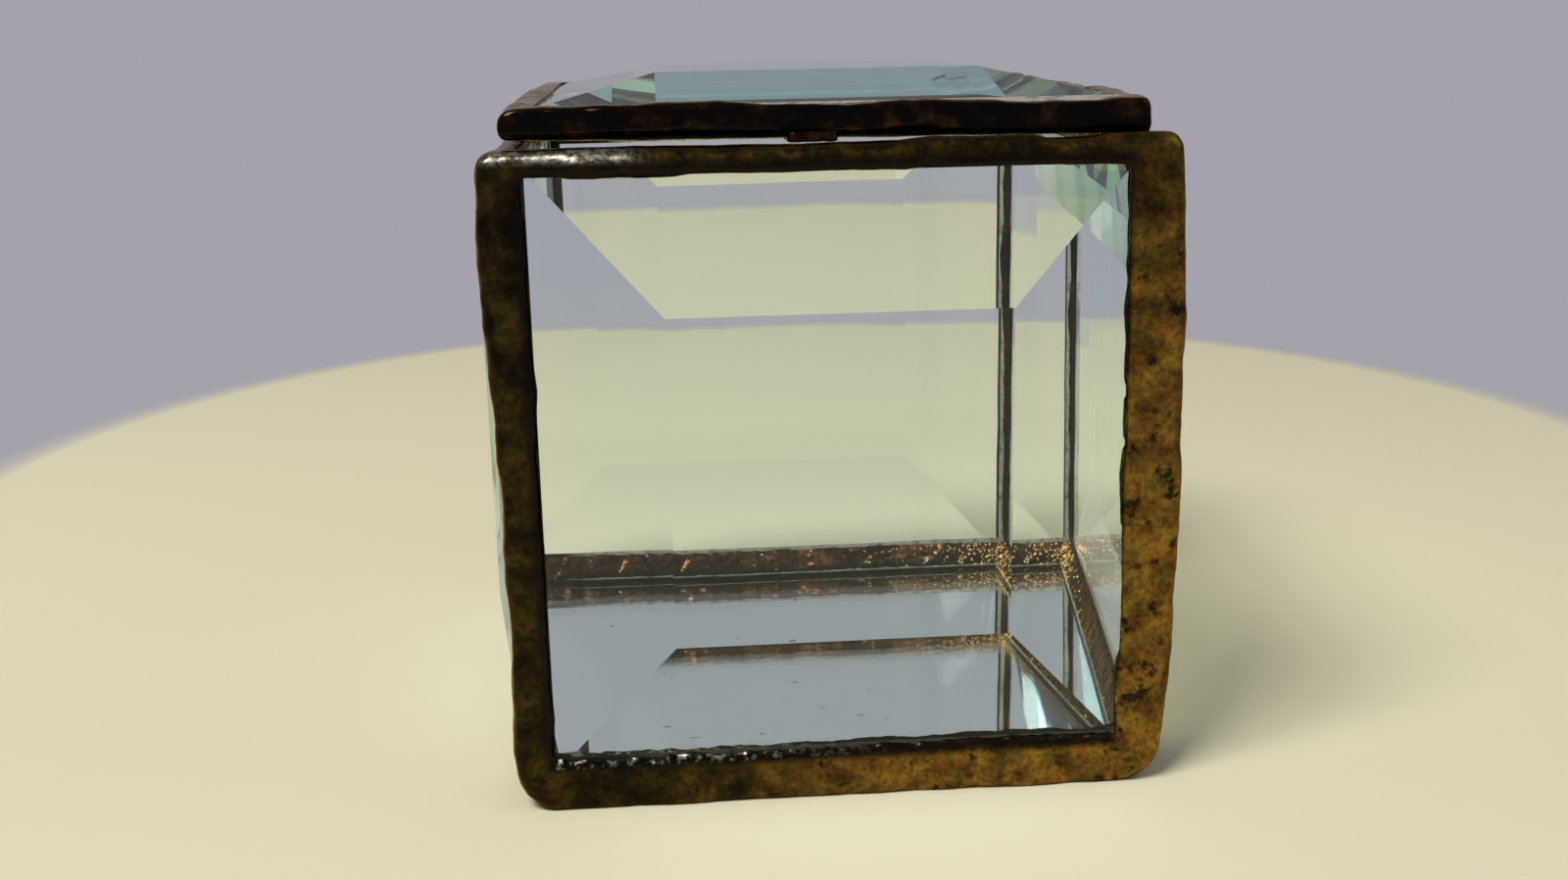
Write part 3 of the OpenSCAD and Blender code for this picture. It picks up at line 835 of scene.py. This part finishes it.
def solder_lid(material):
    """Beads round the lid. They sag in front, and are thicker on top at the left and below at the right."""
    front, back, left = [box_mm(f"lid_{side}_bead") for side in ("front", "back", "left")]
    (x0, y0, z0), (x1, y1, z1) = front[0], (front[1].x, back[1].y, front[1].z)
    x0 -= LID_LEFT_EXTRA_MM
    skin = block("lid_skin", (x0, y0, z0), (x1, y1, z1))
    for x, side in ((x0, -1), (x1, 1)):
        move_corner(skin, (x, y0, z0), (0, 0, -LID_SAG_MM - side * LID_UNDER_LEAN_MM))
        move_corner(skin, (x, y0, z1), (0, 0, -side * LID_TOP_LEAN_MM))
    middle_z = (z0 + z1) / 2
    for (side, top), radius in LID_ROUND_MM.items():
        round_edges(skin, lambda a, b: not same(a.y, b.y) and a.x * side > 0 and (a.z > middle_z) == top,
                    radius)
    round_edges(skin, lambda a, b: same(a.y, b.y) and (same(a.y, y0) or same(a.y, y1)), LID_EDGE_ROUND_MM, 4)
    cut_away(skin, block("lid_window", (left[1].x, front[1].y, 0), (-left[1].x, back[0].y, FAR_MM)))
    fuse(skin, VOXEL_MM, 4)
    bead_lumps(skin, lid_lump_share)
    casket_top = box_mm("front_rim_bead")[1].z
    keep_behind(skin, (0, 0, casket_top + LID_UNDER_MARGIN_MM), (0, 0, -1))
    cut_away(skin, grown_glass(["lid_pane"]))
    front_y, back_y = front[1].y + PIECE_REACH_MM, back[0].y - PIECE_REACH_MM
    parts = {
        "lid_front_bead": ((None, None, None), (None, front_y, None)),
        "lid_back_bead": ((None, back_y, None), (None, None, None)),
        "lid_left_bead": ((None, front_y, None), (0, back_y, None)),
        "lid_right_bead": ((0, front_y, None), (None, back_y, None))}
    for node, (low, high) in parts.items():
        made = part_between(skin, f"lumpy_{node}", low, high)
        finish_piece(made, material, "lid", [node])
    bpy.data.objects.remove(skin)
    low, high = box_mm("lid_rest_bead")
    rest = block(
        "lumpy_lid_rest_bead", (low.x - REST_WIDER_MM, low.y - REST_FORWARD_MM, low.z),
        (high.x + REST_WIDER_MM, high.y, high.z + REST_HIGHER_MM))
    round_edges(rest, lambda a, b: not same(a.z, b.z), 0.6)
    fuse(rest, REST_VOXEL_MM, 8)
    lumps(rest, *REST_LUMPS_MM)
    keep_behind(rest, (0, 0, low.z), (0, 0, -1))
    finish_piece(rest, material, "lid", ["lid_rest_bead"])


def inner_lump_share(x, y, z):
    """The side fillets are smoother than those at the front and back."""
    return 0.35 + 0.65 * ramp01(abs(y), 26.5, 28)


def inner_solder(seam_material, fillet_material):
    """Thin seams up the inside corners and the rough fillets round the mirror."""
    sides = ("front", "back", "left", "right")
    corners = [f"inner_{end}_{side}_seam" for end in sides[:2] for side in sides[2:]]
    fillets = [f"inner_{side}_base_seam" for side in sides]
    skin = cad_copies("inner_skin", corners + fillets)
    fuse(skin, INNER_VOXEL_MM, 4)
    apply_modifier(skin, "DISPLACE", strength=INNER_SWELL_MM * MM, mid_level=0)
    lumps(skin, *INNER_LUMPS_MM, weights_of(skin, "lumps", inner_lump_share))
    lumps(skin, *INNER_FINE_LUMPS_MM)
    low, high = box_mm("inner_back_base_seam")
    wall_x, wall_y, floor_z, top_z = high.x, high.y, low.z, high.z
    for sign in (-1, 1):
        keep_behind(skin, (sign * wall_x, 0, 0), (sign, 0, 0))
        keep_behind(skin, (0, sign * wall_y, 0), (0, sign, 0))
    keep_behind(skin, (0, 0, floor_z), (0, 0, -1))
    for node in corners:
        x = -1 if "left" in node else 1
        y = -1 if "front" in node else 1
        low = (0 if x > 0 else None, 0 if y > 0 else None, top_z)
        high = (None if x > 0 else 0, None if y > 0 else 0, None)
        made = part_between(skin, f"lumpy_{node}", low, high)
        finish_piece(made, seam_material, "casket", [node])
    made_fillets = []
    for side, (x, y) in (("front", (0, -1)), ("back", (0, 1)), ("left", (-1, 0)), ("right", (1, 0))):
        node = f"inner_{side}_base_seam"
        made = part_between(skin, f"lumpy_{node}", (None, None, None), (None, None, top_z))
        for turn in (-1, 1):
            along_x, along_y = turn * abs(y), turn * abs(x)
            corner = (wall_x * (x + along_x), wall_y * (y + along_y), 0)
            keep_behind(made, corner, (along_x - x, along_y - y, 0))
        made_fillets.append(finish_piece(made, fillet_material, "casket", [node]))
    bpy.data.objects.remove(skin)
    return made_fillets


def gold_grains(carriers, material):
    """Small bright grains of solder on the fillets, thickest round the back right corner."""
    low, high = box_mm("inner_back_base_seam")
    corner = Vector((high.x, high.y, low.z))
    draw = random.Random(GRAIN_SEED)
    points = [vertex.co / MM for piece in carriers for vertex in piece.data.vertices]
    clear_x, clear_y = high.x - GRAIN_MM[1], high.y - GRAIN_MM[1]
    points = [point for point in points if abs(point.x) < clear_x and abs(point.y) < clear_y]
    deselect_all()
    bpy.ops.mesh.primitive_ico_sphere_add(subdivisions=1, radius=MM)
    grain = bpy.context.object
    grains = []
    while len(grains) < GRAIN_COUNT:
        place = draw.choice(points)
        nearness = math.exp(-(place - corner).length / GRAIN_SPREAD_MM)
        if draw.random() > nearness + GRAIN_ELSEWHERE:
            continue
        made = copy_of(grain, "grain")
        stretch = [draw.uniform(*GRAIN_MM) for _ in range(3)]
        made.data.transform(Matrix.Translation(place * MM) @ Matrix.Diagonal((*stretch, 1)))
        grains.append(made)
    bpy.data.objects.remove(grain)
    made = joined("gold_grains", grains)
    finish_piece(made, material, "casket", [])


def mirror_silvering(material):
    """Silvering and paint under the mirror glass. The silver lies just inside the glass, like a coating."""
    low, high = box_mm("mirror_backing")
    sheet = block(
        "mirror_silvering", (low.x + SILVER_INSET_MM, low.y + SILVER_INSET_MM, low.z),
        (high.x - SILVER_INSET_MM, high.y - SILVER_INSET_MM, high.z + SILVER_IN_GLASS_MM))
    round_edges(sheet, lambda a, b: not same(a.z, b.z), 0.5)
    finish_piece(sheet, material, "casket", ["mirror_backing"])


def add_area_light(name, place, size, power, colour):
    """Square lamp in metres and watts, turned to the middle of the box."""
    light = bpy.data.lights.new(name, "AREA")
    light.energy = power
    light.size = size
    light.color = colour
    lamp = bpy.data.objects.new(name, light)
    bpy.context.scene.collection.objects.link(lamp)
    lamp.location = place
    aim = Vector((0, 0, 0.03)) - Vector(place)
    lamp.rotation_euler = aim.to_track_quat("-Z", "Y").to_euler()


def add_camera():
    data = bpy.data.cameras.new("camera")
    data.sensor_width = SENSOR_MM
    data.lens = FOCAL_PX * SENSOR_MM / PHOTO_WIDTH_PX
    data.clip_start = 0.01
    data.clip_end = 20
    camera = bpy.data.objects.new("camera", data)
    bpy.context.scene.collection.objects.link(camera)
    turn = (Matrix.Rotation(-CAMERA_YAW, 4, "Z") @ Matrix.Rotation(math.pi / 2 - CAMERA_PITCH, 4, "X")
            @ Matrix.Rotation(-CAMERA_ROLL, 4, "Z"))
    camera.matrix_world = Matrix.Translation(Vector(CAMERA_PLACE_MM) * MM) @ turn
    bpy.context.scene.camera = camera


def add_stage():
    deselect_all()
    bpy.ops.mesh.primitive_plane_add(size=12, location=(0, 0, 0))
    floor = bpy.context.object
    floor.name = "floor"
    floor.data.materials.append(floor_material())
    world = bpy.data.worlds.new("studio")
    world.use_nodes = True
    bpy.context.scene.world = world
    nodes, links = world.node_tree.nodes, world.node_tree.links
    background = nodes["Background"]
    background.inputs["Color"].default_value = LAVENDER
    background.inputs["Strength"].default_value = 1.0
    room = nodes.new("ShaderNodeBackground")
    room.inputs["Color"].default_value = LAVENDER
    room.inputs["Strength"].default_value = 0.5
    light = mix_surfaces(
        nodes, links, seen_share(nodes, links), room.outputs["Background"], background.outputs["Background"])
    links.new(light, nodes["World Output"].inputs["Surface"])
    add_area_light("key", place=(-0.38, -0.36, 0.84), size=0.36, power=9.2, colour=(1.0, 0.98, 0.95))
    add_area_light("fill", place=(0.6, -0.2, 0.5), size=0.6, power=1.0, colour=(0.95, 0.97, 1.0))


def set_view():
    scene = bpy.context.scene
    scene.view_settings.view_transform = "Standard"
    scene.cycles.max_bounces = 32
    scene.cycles.transmission_bounces = 32
    scene.cycles.glossy_bounces = 12
    scene.cycles.transparent_max_bounces = 32


add_camera()
add_stage()
set_view()

PLATE = glass_material("bevelled_glass", (0.05, 0.80, 0.70, 1), 13.0, 0.45)
LID_GLASS = glass_material("lid_glass", (0.05, 0.80, 0.70, 1), 12.0, 0.6)
FLAT_GLASS = glass_material("mirror_glass", (0.32, 0.80, 0.75, 1), 8.0, 0.6)
PATINA = solder_shader("patina_solder", [
    (0.32, (0.004, 0.003, 0.001)), (0.48, (0.017, 0.012, 0.002)), (0.62, (0.052, 0.036, 0.006))], [
    (0.32, (0.060, 0.034, 0.008)), (0.48, (0.175, 0.100, 0.019)), (0.62, (0.300, 0.175, 0.032))], 0.7)
LID_PATINA = solder_shader("lid_patina", [
    (0.38, (0.0025, 0.0012, 0.0006)), (0.55, (0.007, 0.004, 0.001)), (0.66, (0.050, 0.020, 0.005))],
    rough=(0.07, 0.22))
BLACK_SEAM = metal_material("inner_seam_black", [
    (0.40, (0.002, 0.002, 0.002)), (0.70, (0.012, 0.009, 0.006))], 0.3, 0.35, 0.6, 0.6, 0.1)
BROWN_FILLET = solder_shader("inner_fillet_brown", [
    (0.32, (0.013, 0.007, 0.005)), (0.48, (0.055, 0.027, 0.014)), (0.62, (0.130, 0.068, 0.032))],
    foot_z=box_mm("mirror_foil")[1].z + 0.8)
GOLD = metal_material("gold_grains", [
    (0.35, (0.45, 0.26, 0.08)), (0.60, (0.80, 0.55, 0.22))], 0.9, 0.2, 0.35, 0.8)
FOIL = foil_material()
BRASS = metal_material("hinge_brass", [
    (0.35, (0.16, 0.10, 0.04)), (0.60, (0.40, 0.28, 0.11))], 0.9, 0.25, 0.4, 0.5)

SLOT_MATERIALS = {
    "bevelled_glass": PLATE, "mirror_glass": FLAT_GLASS, "mirror_backing": FOIL, "copper_foil": FOIL,
    "patina_solder": PATINA, "inner_seam": BLACK_SEAM, "hinge_tube": BRASS, "hinge_rod": BRASS}
for part in frame["record"]["subparts"]:
    give(part["node"], SLOT_MATERIALS[part["material_slot"]])
give("lid_pane", LID_GLASS)

solder_casket(PATINA)
solder_lid(LID_PATINA)
gold_grains(inner_solder(BLACK_SEAM, BROWN_FILLET), GOLD)
mirror_silvering(silver_material())
